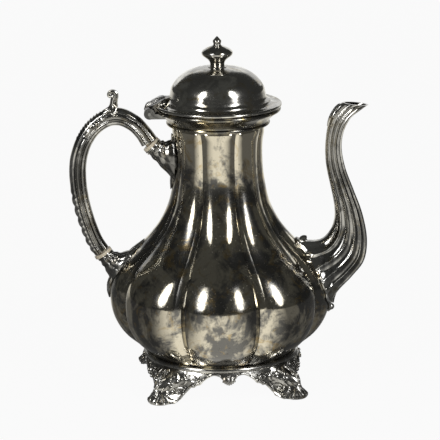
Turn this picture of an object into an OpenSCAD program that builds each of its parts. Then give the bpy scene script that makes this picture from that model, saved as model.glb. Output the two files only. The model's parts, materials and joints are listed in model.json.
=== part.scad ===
// Silver coffee pot: lobed pear body on four scroll feet, swan-neck spout,
// insulated C-scroll handle and a hinged domed lid with a turned finial.
// Frame: origin on the body's axis at floor level, +X to the spout, -X to the
// handle, +Z up. The lid turns about an axis along Y behind the rim.

/* [Body] */
// Number of lobes round the body
lobes = 8; // [6:1:12]
// Depth of the creases between lobes, as a share of the radius
lobe_depth = 0.085; // [0.04:0.005:0.12]
// Thickness of the body sheet
wall = 1.4; // [1:0.1:2.5]
// Height of the body's lower edge
body_low = 26.5; // [24:0.5:28]
// Height where the lobed body meets the neck collar
body_top = 203; // [200:0.5:205]
// Height of the soldered seam between the two halves of the body
body_seam = 66; // [60:1:70]

/* [Strainer] */
// Diameter of each hole behind the spout
strain_hole = 3.6; // [2:0.2:4]
// Rings of holes round the middle one
strain_rings = 2; // [1:1:2]

/* [Feet] */
// Turn of the foot mount about the pot's axis, in degrees
foot_turn = 5.4; // [0:0.2:8]
// Radius of the flat pad under each toe
toe_pad_r = 8.5; // [6:0.5:9]
// Distance of a toe pad's middle from the pot's axis
toe_reach = 73; // [70:1:75]

/* [Spout] */
// Thickness of the spout's metal
spout_wall = 1.2; // [1:0.1:2]
// Station along the spout where its two castings are soldered together
spout_seam = 5; // [4:1:7]

/* [Handle] */
// Radius of the tenons on the ivory insulators
tenon_r = 3.6; // [3:0.1:4.2]
// Length of each tenon
tenon_long = 6; // [4:0.5:8]
// Radius of the pins through the tenons
tenon_pin_r = 0.9; // [0.7:0.1:1.2]
// Thickness of the insulating discs
disc_thick = 2.2; // [1.6:0.1:3]

/* [Lid] */
// Thickness of the lid sheet
lid_wall = 1.3; // [1:0.1:2]
// Gap between the lid flange and the rim
seat_gap = 0.3; // [0.3:0.05:0.6]

/* [Hinge] */
// Distance of the hinge axis behind the pot's axis
hinge_back = 51.5; // [51.3:0.1:52]
// Height of the hinge axis
hinge_high = 213.6; // [213.4:0.1:213.8]
// Outside radius of the knuckles
knuckle_r = 4.2; // [3.8:0.1:4.2]
// Radius of the hinge pin
hinge_pin_r = 1.2; // [1:0.1:1.6]
// Half the length of the whole barrel
barrel_half = 14; // [12:0.5:15]
// Half the length of the lid's knuckle
lid_knuckle_half = 5.6; // [5:0.2:6.5]

/* [Hidden] */
silver = [0.52, 0.51, 0.49];
dark_silver = [0.34, 0.34, 0.35];
ivory = [0.80, 0.76, 0.66];

// Running clearance between a bore and what turns or slides in it
fit = 0.05;
// Gap left between soldered castings and the sheet that they sit on
solder = 0.12;
// Clearance round parts that swing past each other
swing = 0.4;
// Points round the body, a whole number on each half lobe
round_pts = lobes * 8;
pitch = 360 / lobes;

// Half outline of the body: height, radius at the crown of a lobe
body_profile = [[26.5, 57], [30, 61.5], [40, 73.9], [52, 81.6], [66, 84.8], [80, 83.8],
    [95, 75], [110, 59.5], [125, 47.1], [140, 39.4], [155, 35.6], [172, 33.6],
    [190, 33.8], [203, 36.6]];

// Spout: point on the inner edge, point on the outer edge, half width across
spout_stations = [[[59, 112], [82, 54], 22], [[68, 110.2], [90.2, 68.8], 17.5],
    [[78, 111.2], [101.8, 81.4], 14.5], [[85, 118.5], [111, 94], 12.8],
    [[88, 128], [113.2, 111], 11], [[87.6, 140], [109.6, 131], 9.4],
    [[84.8, 154.4], [103, 149.5], 8], [[82, 168], [96.6, 167], 6.8],
    [[81, 182], [93.8, 182.5], 6.2], [[82.2, 195.5], [95.4, 195.5], 6.2],
    [[84.6, 205.5], [100.8, 206], 6.6], [[90, 215], [107.5, 211.5], 6.8],
    [[94.6, 218], [114, 215.8], 6.2]];

// Handle: middle of its section, half thickness in the plane of the curve
handle_path = [[-52, 188.6, 6.8], [-57, 196.5, 6.4], [-64, 204, 6.5], [-74, 209, 6.8],
    [-85, 207.7, 6.6], [-95, 200.5, 6.4], [-102.3, 189.7, 6.3], [-106.4, 177.3, 6.5],
    [-107.5, 164, 6.5], [-106.3, 150, 6.3], [-103.6, 136.2, 6.2], [-99.7, 123, 6.1],
    [-95.2, 111.5, 6.1], [-90.4, 103.7, 6.2]];
handle_half_w = 6.6;

// Ends of the handle: place of the insulating disc and the way that it faces
upper_disc = [-51, 187.3];
upper_way = 134;
lower_disc = [-89.6, 102.3];
lower_way = 123;

// Sockets: top edge, bottom edge and half width, from the disc to the body
upper_socket_stations = [[[-45.4, 190.9], [-55, 181.6], 6.8], [[-42.6, 190], [-50, 176.6], 6.9],
    [[-38.5, 189.8], [-43.5, 169.5], 7.6], [[-33, 193], [-33, 157], 9]];
lower_socket_stations = [[[-83.9, 104.9], [-94, 98.6], 6.4], [[-79.5, 102.8], [-90.6, 93.4], 6.8],
    [[-73.5, 102.8], [-87.6, 88.2], 8], [[-62, 107], [-84, 78], 10.5]];

// Lid and rim
rim_top = 216.3;
rim_bore = 43.6;
flange_low = rim_top + seat_gap;
flange_r = 48.4;
bezel_r = 42.6;
dome_low = 221.45;
dome_top = 246.5;
dome_profile = [[39.2, 221.45], [37, 223.6], [36, 227], [35, 231.2], [32.2, 235.8],
    [27.4, 240.4], [21, 244], [13, 246], [6, dome_top], [2.2, dome_top]];
finial_low = 248.05;
finial_profile = [[5.3, finial_low], [5.6, 249.4], [6, 250.7], [7.2, 252.3], [9.2, 253.9],
    [11.1, 255.5], [11.8, 257.1], [11.3, 258.7], [9.5, 260.3], [6.1, 261.9], [3.4, 263],
    [2.8, 264.1], [3.2, 265.5], [3.1, 266.8], [1.6, 268.6], [0.5, 269.7], [0, 270]];
stud_r = 1.9;
stud_low = 240.2;

// Value of a smooth curve through [x, value] pairs at x
function slope(p, i) = let (a = max(i - 1, 0), b = min(i + 1, len(p) - 1))
    (p[b][1] - p[a][1]) / (p[b][0] - p[a][0]);
function span_of(p, x, i = 0) = (i >= len(p) - 2 || x < p[i + 1][0]) ? i : span_of(p, x, i + 1);
function smooth(p, x) = let (i = span_of(p, x), h = p[i + 1][0] - p[i][0],
    t = (x - p[i][0]) / h, u = 1 - t)
    p[i][1] * (1 + 2 * t) * u * u + slope(p, i) * h * t * u * u
    + p[i + 1][1] * t * t * (3 - 2 * t) - slope(p, i + 1) * h * t * t * u;

// Point at t spans along a smooth curve through the points p
function along(p, t) = let (last = len(p) - 1, i = min(floor(t), last - 1), u = t - i,
    a = p[max(i - 1, 0)], b = p[i], c = p[i + 1], d = p[min(i + 2, last)])
    b + 0.5 * u * ((c - a) + u * ((2 * a - 5 * b + 4 * c - d) + u * (3 * b - a - 3 * c + d)));
function curve(p, steps) = [for (i = [0 : (len(p) - 1) * steps]) along(p, i / steps)];
function along_edge(list, k, t) = along([for (s = list) s[k]], t);

// The curve moved sideways by d, to its left
function beside(c, d) = [for (i = [0 : len(c) - 1])
    let (v = c[min(i + 1, len(c) - 1)] - c[max(i - 1, 0)])
    c[i] + d * [-v[1], v[0]] / norm(v)];
function reversed(list) = [for (i = [len(list) - 1 : -1 : 0]) list[i]];

// Radius of the body's outside at a height and an angle round the axis
function lobe_fade(z) = min(1, max(0, (z - body_low) / 6)) * min(1, max(0, (body_top - z) / 9));
function body_r(z, a) = let (m = (a + 360 + pitch / 2) % pitch, t = abs(m - pitch / 2) / (pitch / 2))
    smooth(body_profile, z) * (1 - lobe_depth * lobe_fade(z) * pow(t, 2.4));
function body_lean(z) = (smooth(body_profile, min(z + 1, body_top))
    - smooth(body_profile, max(z - 1, body_low))) / 2;
function body_ring(z, inset) = let (d = inset * sqrt(1 + pow(body_lean(z), 2)))
    [for (j = [0 : round_pts - 1]) let (a = 360 * j / round_pts, r = body_r(z, a) - d)
        [r * cos(a), r * sin(a), z]];

// The point (y, z) laid on the body's outside, on the side given by its sign
function on_body(p, side, gap) = let (z = min(max(p[2], body_low), body_top),
    r0 = body_r(z, atan2(p[1], smooth(body_profile, z))),
    x0 = sqrt(max(r0 * r0 - p[1] * p[1], 1)),
    r1 = body_r(z, atan2(p[1], x0)) + gap * sqrt(1 + pow(body_lean(z), 2)))
    [side * sqrt(max(r1 * r1 - p[1] * p[1], 1)), p[1], z];

// Oval ring between two points in the plane y = 0, w wide each way along Y
function oval(a, b, w, n, inset = 0) = let (m = (a + b) / 2, h = (b - a) / 2,
    k = (norm(h) - inset) / norm(h))
    [for (j = [0 : n - 1]) let (c = cos(360 * j / n) * k, s = sin(360 * j / n))
        [m[0] + h[0] * c, (w - inset) * s, m[1] + h[1] * c]];
function station_ring(list, t, n, inset = 0) = oval(along_edge(list, 0, t),
    along_edge(list, 1, t), along_edge(list, 2, t), n, inset);

// Faces between successive rings of n points, and a solid through the rings
function skin(m, n, loop) = [for (i = [0 : (loop ? m - 1 : m - 2)], j = [0 : n - 1])
    let (a = i * n, b = ((i + 1) % m) * n, k = (j + 1) % n)
    each [[a + j, b + k, a + k], [a + j, b + j, b + k]]];
function middle(r) = [for (k = [0 : 2]) [for (p = r) p[k]] * [for (p = r) 1] / len(r)];
module tube(rings) {
    polyhedron([for (r = rings) each r], skin(len(rings), len(rings[0]), true));
}
module loft(rings) {
    m = len(rings);
    n = len(rings[0]);
    points = concat([for (r = rings) each r], [middle(rings[0]), middle(rings[m - 1])]);
    low_fan = [for (j = [0 : n - 1]) [m * n, j, (j + 1) % n]];
    high_fan = [for (j = [0 : n - 1]) [m * n + 1, (m - 1) * n + (j + 1) % n, (m - 1) * n + j]];
    polyhedron(points, concat(skin(m, n, false), low_fan, high_fan));
}

// A ring drawn in towards its middle and laid on the body
function drawn_in(r, k, side) = let (c = middle(r))
    [for (p = r) on_body(c + (p - c) * k, side, solder)];

// ---- Body ----
// A length of the lobed sheet, ringed by so many steps outside and inside
module body_part(low, high, steps, inside_steps) {
    outer = [for (i = [0 : steps]) body_ring(low + (high - low) * i / steps, 0)];
    inner = [for (i = [inside_steps : -1 : 0]) body_ring(low + (high - low) * i / inside_steps, wall)];
    tube(concat(outer, inner));
}
module body_upper() {
    color(dark_silver) difference() {
        body_part(body_seam, body_top, 21, 13);
        for (k = [0 : strain_rings], i = [0 : max(k * 6, 1) - 1])
            translate([60, 0, 84]) rotate([60 * i / max(k, 1), 0, 0]) translate([0, k * 6, 0])
                rotate([0, 90, 0]) cylinder(d = strain_hole, h = 34, $fn = 24);
    }
}
module body_lower() {
    color(dark_silver) body_part(body_low, body_seam - fit, 7, 5);
}

module body_base() {
    edge = body_profile[0][1];
    color(dark_silver) rotate_extrude($fn = 96)
        polygon([[0, 28.6], [20, 28.2], [44, 26.4], [edge, 26.4], [edge, 25.2], [43, 25.2],
            [20, 27], [0, 27.4]]);
}

// Outside of the rim moulding, from the neck up to the seat of the lid
rim_outside = concat([[37, 203.1], [38.4, 203.2]],
    [for (a = [-60 : 20 : 80]) [38.2 + 1.1 * cos(a), 204.3 + 1.1 * sin(a)]],
    curve([[38.9, 205.9], [39.6, 207.2], [41.1, 209], [43.2, 210.9], [45, 212.3]], 3),
    [for (a = [-70 : 20 : 80]) [46.2 + 1.5 * cos(a), 214.7 + 1.5 * sin(a)]], [[46, rim_top]]);
module neck_collar() {
    inside = concat([[rim_bore, rim_top]],
        [for (a = [95 : 14 : 165]) [44.2 + 8.3 * cos(a), 204.8 + 7.3 * sin(a)]], [[34.4, 203.1]]);
    color(silver) difference() {
        rotate_extrude($fn = 96) polygon(concat(rim_outside, inside));
        hinge_cylinder(knuckle_r + swing, lid_knuckle_half + swing);
    }
}
// The rim as a filled solid, made fatter by gap, to cut castings that sit against it
module rim_fill(gap) {
    rotate_extrude($fn = 96) polygon(concat([[0, 203.1 - gap], [37 + gap, 203.1 - gap]],
        [for (p = rim_outside) [p[0] + gap, p[1]]], [[46 + gap, rim_top + gap], [0, rim_top + gap]]));
}

// ---- Feet ----
module foot_ring() {
    edge = body_profile[0][1] + 0.1;
    color(silver) rotate_extrude($fn = 96)
        polygon(concat([[50, 22.6], [58.6, 22.6]],
            [for (a = [-50 : 20 : 50]) [57.6 + 2.2 * cos(a), 24.5 + 2.2 * sin(a)]],
            [[edge, 26.4], [edge, 25.1], [50, 25.1]]));
}

// Lower edge of the apron at an angle from its middle: drop, arch, leaf, leg
apron_edge = [[0, 17.4], [3, 18.4], [6, 20.6], [11, 21.6], [15, 20], [19, 16.8], [22.5, 14.4],
    [26.5, 12.8], [30, 9], [33, 5], [35.4, 1.2]];
module apron(turn) {
    half = 35.4;
    steps = 14;
    thick = 2;
    top = 22.5;
    color(silver) rotate([0, 0, turn + foot_turn]) loft([for (i = [-steps : steps])
        let (a = half * i / steps, low = smooth(apron_edge, abs(a)), r = 59.2,
            foot = r + 0.25 * (top - low))
        [for (p = [[r - thick, top], [r, top], [(r + foot) / 2 + 0.8, (top + low) / 2],
            [foot, low], [foot - thick, low], [(r + foot) / 2 - thick, (top + low) / 2]])
            [p[0] * cos(a), p[0] * sin(a), p[1]]]]);
}

// One foot: nose and heel radii and half width by height
foot_nose = [[0, 83], [2.5, 84.6], [5, 81], [9, 77.4], [13, 76], [17, 72.4], [22.5, 62.5]];
foot_heel = [[0, 63], [4, 60.4], [10, 58], [22.5, 55]];
foot_half = [[0, 8.6], [3, 9], [8, 9.2], [14, 9], [22.5, 9.4]];
// Squarer than a circle: the sign kept and the size raised
function squared(v) = sign(v) * pow(abs(v), 0.65);
module foot(turn) {
    heights = [0.8, 2.5, 4.5, 7, 10, 13, 16, 19, 22.5];
    color(silver) rotate([0, 0, turn + foot_turn]) union() {
        loft([for (z = heights) let (nose = smooth(foot_nose, z), heel = smooth(foot_heel, z),
                w = smooth(foot_half, z))
            [for (j = [0 : 19]) let (c = squared(cos(18 * j)), s = squared(sin(18 * j)))
                [(nose + heel) / 2 + (nose - heel) / 2 * c, w * s * (1 - 0.3 * max(c, 0)), z]]]);
        translate([toe_reach, 0, 0]) cylinder(r = toe_pad_r, h = 0.9, $fn = 48);
    }
}

// ---- Spout ----
// Rings of the tube's outside or inside between two stations
function spout_rings(low, high, inset) = [for (i = [0 : 2 * (high - low)])
    station_ring(spout_stations, low + i / 2, 24, inset)];
// Gap between the two castings, as a share of a span
spout_gap = 0.005;
// Least gap between the body and the rings near it
body_gap = 1;
module spout_lower() {
    outer = spout_rings(0, spout_seam - spout_gap, 0);
    inner = spout_rings(0, spout_seam - spout_gap, spout_wall);
    // the first ring is laid on the body and the others stay clear of it
    function clear(p, gap) = [max(p[0], on_body(p, 1, gap)[0]), p[1], p[2]];
    function laid(rings) = [for (i = [0 : len(rings) - 1])
        [for (p = rings[i]) i == 0 ? on_body(p, 1, solder) : clear(p, body_gap)]];
    end = [for (inset = [0, spout_wall]) station_ring(spout_stations, spout_seam - spout_gap, 24, inset)];
    color(silver) tube(concat(laid(outer), [end[0], end[1]], reversed(laid(inner))));
}
module spout_upper() {
    last = len(spout_stations) - 1;
    color(silver) tube(concat(spout_rings(spout_seam, last, 0),
        reversed(spout_rings(spout_seam, last, spout_wall))));
}

// ---- Handle ----
function unit(a) = [cos(a), sin(a)];
module at_disc(disc, way) {
    translate([disc[0], 0, disc[1]]) rotate([0, 90 - way, 0]) children();
}
// A hole or a pin across a tenon, on the side of the disc given by its sign
module across(disc, way, side, r, half) {
    p = disc + side * unit(way) * (disc_thick / 2 + tenon_long / 2);
    translate([p[0], 0, p[1]]) rotate([90, 0, 0]) cylinder(r = r, h = 2 * half, center = true, $fn = 24);
}
module tenon_bores(disc, way, side) {
    at_disc(disc, way) mirror([0, 0, side > 0 ? 0 : 1])
        cylinder(r = tenon_r + fit, h = disc_thick / 2 + tenon_long + 0.4, $fn = 32);
    across(disc, way, side, tenon_pin_r + fit, 12);
}
module insulator(disc, way) {
    color(ivory) difference() {
        at_disc(disc, way) union() {
            cylinder(r = 7.2, h = disc_thick, center = true, $fn = 48);
            cylinder(r = tenon_r, h = disc_thick + 2 * tenon_long, center = true, $fn = 32);
        }
        for (side = [-1, 1]) across(disc, way, side, tenon_pin_r + fit, 12);
    }
}
module upper_insulator() { insulator(upper_disc, upper_way); }
module lower_insulator() { insulator(lower_disc, lower_way); }

// The handle's end face is square to the disc, so it is cut there
module beyond_disc(disc, way, side) {
    at_disc(disc, way) mirror([0, 0, side > 0 ? 0 : 1]) translate([-20, -20, disc_thick / 2 + solder / 2])
        mirror([0, 0, 1]) cube([40, 40, 12]);
}
function path_ring(t, n) = let (p = along(handle_path, t), a = along(handle_path, max(t - 0.1, 0)),
    b = along(handle_path, min(t + 0.1, len(handle_path) - 1)), v = [b[0] - a[0], b[1] - a[1]],
    side = [-v[1], v[0]] / norm(v) * p[2], m = [p[0], p[1]])
    oval(m + side, m - side, handle_half_w, n);
module handle_grip() {
    last = len(handle_path) - 1;
    color(dark_silver) difference() {
        loft([for (i = [0 : 3 * last]) path_ring(i / 3, 16)]);
        beyond_disc(upper_disc, upper_way, 1);
        beyond_disc(lower_disc, lower_way, 1);
        tenon_bores(upper_disc, upper_way, 1);
        tenon_bores(lower_disc, lower_way, 1);
    }
}

module thumb_scroll() {
    base = 216.05;
    stem = [[[-85, base], [-75.2, base], 5.2], [[-81.8, 218.4], [-74.9, 217.8], 4.6],
        [[-80.4, 221], [-73.9, 221.4], 4.2], [[-80.6, 224], [-74, 224.8], 4]];
    rings = [for (t = [0 : 0.5 : 3]) station_ring(stem, t, 16)];
    // the underside follows the top of the handle
    sag = [for (k = [0.3, 0.65, 1]) [for (p = rings[0]) let (x = -80.1 + (p[0] + 80.1) * k, y = p[1] * k)
        [x, y, base - 0.035 * y * y - 0.012 * pow(x + 78, 2)]]];
    color(silver) union() {
        loft(concat(sag, [for (i = [1 : len(rings) - 1]) rings[i]]));
        translate([-78.6, 0, 225.7]) rotate([90, 0, 0])
            cylinder(r = 4.4, h = 8.6, center = true, $fn = 40);
    }
}

module socket(stations, disc, way) {
    n = 20;
    last = len(stations) - 1;
    rings = [for (t = [0 : 0.5 : last - 0.5]) station_ring(stations, t, n)];
    end = station_ring(stations, last, n);
    seat = [for (k = [1, 0.66, 0.33]) drawn_in(end, k, -1)];
    color(silver) difference() {
        loft(concat(rings, seat));
        beyond_disc(disc, way, -1);
        tenon_bores(disc, way, -1);
    }
}
module upper_socket() { socket(upper_socket_stations, upper_disc, upper_way); }
module lower_socket() { socket(lower_socket_stations, lower_disc, lower_way); }

module handle_pins() {
    half = 6.3;
    color(silver) {
        for (side = [-1, 1]) {
            across(upper_disc, upper_way, side, tenon_pin_r, half);
            across(lower_disc, lower_way, side, tenon_pin_r, half);
        }
    }
}

// ---- Hinge ----
module hinge_cylinder(r, half) {
    translate([-hinge_back, 0, hinge_high]) rotate([90, 0, 0])
        cylinder(r = r, h = 2 * half, center = true, $fn = 48);
}
module hinge_box(x0, x1, z0, z1, half) {
    translate([x0, -half, z0]) cube([x1 - x0, 2 * half, z1 - z0]);
}
module hinge_bracket() {
    gap = 0.35;
    color(silver) difference() {
        union() {
            hinge_cylinder(knuckle_r, barrel_half);
            hinge_box(-hinge_back, -38, 209.6, hinge_high, barrel_half);
        }
        rim_fill(fit);
        translate([-hinge_back, 0, 206]) cube([20, 2 * (lid_knuckle_half + gap), 24], center = true);
        hinge_cylinder(knuckle_r + swing, lid_knuckle_half + gap);
        hinge_cylinder(hinge_pin_r + fit, barrel_half + 1);
    }
}
module hinge_pin() {
    color(dark_silver) hinge_cylinder(hinge_pin_r, barrel_half + 0.6);
}
module lid_hinge_leaf() {
    side = [[-hinge_back - 3.6, 214.6], [-53.6, 217.4], [-51, 219.1], [-47.5, 220.7],
        [-44.2, 222.6], [-40.5, 223.7], [-36, 224], [-36, 214.6]];
    color(silver) difference() {
        union() {
            hinge_cylinder(knuckle_r, lid_knuckle_half);
            intersection() {
                translate([0, 20, 0]) rotate([90, 0, 0]) linear_extrude(40) polygon(side);
                translate([0, 0, 205]) linear_extrude(30) union() {
                    translate([-42.5, 0]) circle(r = 6.4, $fn = 40);
                    for (s = [-1, 1]) translate([-46.5, s * 7]) circle(r = 5.6, $fn = 40);
                    translate([-hinge_back - 3.6, -lid_knuckle_half])
                        square([10, 2 * lid_knuckle_half]);
                }
            }
        }
        lid_fill(fit);
        rim_fill(swing);
        difference() {
            hinge_cylinder(knuckle_r + swing, 20);
            hinge_cylinder(knuckle_r + 2, lid_knuckle_half);
        }
        hinge_cylinder(hinge_pin_r + fit, 20);
    }
}

// ---- Lid ----
flange_outside = concat([[47.2, flange_low]],
    [for (a = [-70 : 20 : 90]) [47 + 1.4 * cos(a), flange_low + 1.35 + 1.3 * sin(a)]],
    [[45.6, flange_low + 2.3], [42.2, flange_low + 2.4]],
    [for (a = [260 : -16 : 190]) [42.2 + 3 * cos(a), dome_low + 0.15 + 2.6 * sin(a)]],
    [[39.2, dome_low - fit]]);
module lid_flange() {
    inner = dome_profile[0][0] - lid_wall;
    color(silver) rotate_extrude($fn = 96)
        polygon(concat(flange_outside, [[inner, dome_low - fit], [inner, flange_low]]));
}
module lid_dome() {
    outside = curve(dome_profile, 3);
    inside = [for (p = reversed(beside(outside, lid_wall))) [p[0], max(p[1], dome_low)]];
    color(dark_silver) rotate_extrude($fn = 96) polygon(concat(outside, inside));
}
module lid_bezel() {
    color(silver) rotate_extrude($fn = 96)
        polygon([[bezel_r, flange_low - fit], [bezel_r, 213.4], [bezel_r - 0.5, 212.8],
            [bezel_r - lid_wall, 212.8], [bezel_r - lid_wall, flange_low - fit]]);
}
// The lid as a filled solid, made fatter by gap, to cut the leaf that sits on it
module lid_fill(gap) {
    low = flange_low - gap;
    rotate_extrude($fn = 96) polygon(concat([[0, low], [flange_outside[0][0] + 2 * gap, low]],
        [for (p = flange_outside) [p[0] + gap, p[1] + gap]],
        [for (p = curve(dome_profile, 3)) [p[0] + gap, p[1] + gap]], [[0, dome_top + gap]]));
}

// ---- Finial ----
module finial_base() {
    color(silver) rotate_extrude($fn = 64)
        polygon([[stud_r + fit, dome_top + fit], [7, dome_top + fit], [6.9, 246.9], [6, 247.3],
            [5.5, 248], [stud_r + fit, 248]]);
}
module finial() {
    color(dark_silver) union() {
        rotate_extrude($fn = 64) polygon(concat([[0, finial_low]], curve(finial_profile, 3)));
        translate([0, 0, stud_low]) cylinder(r = stud_r, h = finial_low - stud_low + 0.5, $fn = 32);
    }
}
module finial_nut() {
    nut_top = dome_top - lid_wall - 0.1;
    color(silver) difference() {
        translate([0, 0, nut_top - 3.4]) cylinder(r = 5, h = 3.4, $fn = 6);
        translate([0, 0, stud_low]) cylinder(r = stud_r + fit, h = 12, $fn = 32);
    }
}

body_upper();
body_lower();
body_base();
neck_collar();
foot_ring();
apron(270);  // apron_front
apron(0);  // apron_right
apron(90);  // apron_back
apron(180);  // apron_left
foot(315);  // foot_front_right
foot(45);  // foot_back_right
foot(135);  // foot_back_left
foot(225);  // foot_front_left
spout_lower();
spout_upper();
handle_grip();
thumb_scroll();
upper_insulator();
lower_insulator();
upper_socket();
lower_socket();
handle_pins();
hinge_bracket();
hinge_pin();
lid_dome();
lid_flange();
lid_bezel();
lid_hinge_leaf();
finial_base();
finial();
finial_nut();
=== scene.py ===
"""Looks of the silver coffee pot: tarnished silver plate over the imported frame.

Lengths in this script are in millimetres until a mesh is made, in the frame of the
CAD model: origin on the pot's axis at floor level, +X to the spout, +Z up.
"""
import json
import math
import bpy
import bmesh
import numpy as np
from mathutils import Matrix, Vector


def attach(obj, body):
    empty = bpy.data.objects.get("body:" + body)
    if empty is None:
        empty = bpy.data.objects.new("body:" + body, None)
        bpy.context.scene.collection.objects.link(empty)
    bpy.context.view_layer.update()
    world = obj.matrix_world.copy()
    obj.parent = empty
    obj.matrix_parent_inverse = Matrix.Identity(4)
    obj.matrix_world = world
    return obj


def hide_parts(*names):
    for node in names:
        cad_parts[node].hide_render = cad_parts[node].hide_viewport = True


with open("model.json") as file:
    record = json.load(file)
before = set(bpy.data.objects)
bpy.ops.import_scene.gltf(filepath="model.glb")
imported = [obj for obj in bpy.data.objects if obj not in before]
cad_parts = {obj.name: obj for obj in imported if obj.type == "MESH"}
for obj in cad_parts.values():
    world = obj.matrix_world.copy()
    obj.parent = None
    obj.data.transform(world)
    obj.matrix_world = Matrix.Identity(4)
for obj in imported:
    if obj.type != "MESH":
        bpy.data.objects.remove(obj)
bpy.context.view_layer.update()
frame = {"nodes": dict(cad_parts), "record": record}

MM = 0.001
TAU = 2 * math.pi
LOBES = 8
WALL = 1.4  # thickness of the sheet
HINGE_AXIS = Vector((-51.5, 0, 213.6))


# ---- Curves -------------------------------------------------------------------
def smooth(table, x):
    """Value at x of a smooth curve through (x, value) pairs; x may be an array."""
    xs = np.array([p[0] for p in table], float)
    ys = np.array([p[1] for p in table], float)
    slopes = np.empty(len(xs))
    slopes[1:-1] = (ys[2:] - ys[:-2]) / (xs[2:] - xs[:-2])
    slopes[0] = (ys[1] - ys[0]) / (xs[1] - xs[0])
    slopes[-1] = (ys[-1] - ys[-2]) / (xs[-1] - xs[-2])
    x = np.clip(x, xs[0], xs[-1])
    i = np.clip(np.searchsorted(xs, x, side="right") - 1, 0, len(xs) - 2)
    h = xs[i + 1] - xs[i]
    t = (x - xs[i]) / h
    u = 1 - t
    return (ys[i] * (1 + 2 * t) * u * u + slopes[i] * h * t * u * u
            + ys[i + 1] * t * t * (3 - 2 * t) - slopes[i + 1] * h * t * t * u)


def along(points, t):
    """Points at t spans along a smooth curve through the given points."""
    p = np.array(points, float)
    t = np.atleast_1d(np.asarray(t, float))
    last = len(p) - 1
    i = np.clip(np.floor(t).astype(int), 0, last - 1)
    u = (t - i)[:, None]
    a, b = p[np.maximum(i - 1, 0)], p[i]
    c, d = p[i + 1], p[np.minimum(i + 2, last)]
    return b + 0.5 * u * ((c - a) + u * ((2 * a - 5 * b + 4 * c - d) + u * (3 * b - a - 3 * c + d)))


def curve(points, steps):
    """The whole smooth curve, with so many steps to a span."""
    return along(points, np.linspace(0, len(points) - 1, (len(points) - 1) * steps + 1))


def ease(x, low, high):
    """0 below low, 1 above high, smooth between."""
    t = np.clip((x - low) / (high - low), 0, 1)
    return t * t * (3 - 2 * t)


# ---- Meshes -------------------------------------------------------------------
def add_mesh(name, points, faces, smooth_angle=40):
    """A new mesh object from millimetre points."""
    mesh = bpy.data.meshes.new(name)
    mesh.from_pydata([tuple(p) for p in np.asarray(points) * MM], [], [tuple(f) for f in faces])
    mesh.validate()
    obj = bpy.data.objects.new(name, mesh)
    bpy.context.collection.objects.link(obj)
    work = bmesh.new()
    work.from_mesh(mesh)
    bmesh.ops.recalc_face_normals(work, faces=work.faces)
    for face in work.faces:
        face.smooth = True
    limit = math.radians(smooth_angle)
    for edge in work.edges:
        edge.smooth = len(edge.link_faces) == 2 and edge.calc_face_angle(0) < limit
    work.to_mesh(mesh)
    work.free()
    return obj


def grid_faces(rows, cols, start=0, wrap_rows=False, wrap_cols=True):
    """Quads of a grid of points, rows by cols."""
    i = np.arange(rows if wrap_rows else rows - 1)[:, None]
    j = np.arange(cols if wrap_cols else cols - 1)[None, :]
    i2, j2 = (i + 1) % rows, (j + 1) % cols
    quads = np.stack([i * cols + j, i * cols + j2, i2 * cols + j2, i2 * cols + j], -1)
    return (quads.reshape(-1, 4) + start).tolist()


def skin(rings, wrap=False):
    """Points and faces of a skin over a stack of rings, with flat ends unless it wraps."""
    rings = np.asarray(rings, float)
    rows, cols = rings.shape[:2]
    points = rings.reshape(-1, 3)
    faces = grid_faces(rows, cols, wrap_rows=wrap)
    for row in () if wrap else (0, rows - 1):
        points = np.vstack([points, rings[row].mean(0)])
        hub = len(points) - 1
        faces += [(hub, row * cols + j, row * cols + (j + 1) % cols) for j in range(cols)]
    return points, faces


def lathe(name, outline, count=192, smooth_angle=40):
    """A solid of revolution about the pot's axis from a closed (radius, height) outline."""
    outline = np.asarray(outline, float)
    angles = np.linspace(0, TAU, count, endpoint=False)
    rings = np.stack([outline[:, None, 0] * np.cos(angles), outline[:, None, 0] * np.sin(angles),
                      np.repeat(outline[:, None, 1], count, 1)], -1)
    return add_mesh(name, *skin(rings, wrap=True), smooth_angle)


def beside(line, gap):
    """A plane curve moved sideways by gap, to its left."""
    line = np.asarray(line, float)
    step = np.gradient(line, axis=0)
    side = np.stack([-step[:, 1], step[:, 0]], 1) / np.linalg.norm(step, axis=1)[:, None]
    return line + gap * side


def arc(cx, cy, rx, ry, start, end, count):
    """Points on an oval arc, angles in degrees."""
    a = np.radians(np.linspace(start, end, count))
    return np.stack([cx + rx * np.cos(a), cy + ry * np.sin(a)], 1)


def finish_piece(obj, material, slot_name, body, *nodes):
    """Gives a piece its material and its body, and hides the CAD nodes that it stands for."""
    obj.data.materials.append(material)
    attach(obj, body)
    if nodes:
        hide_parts(*nodes)
    return obj


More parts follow.
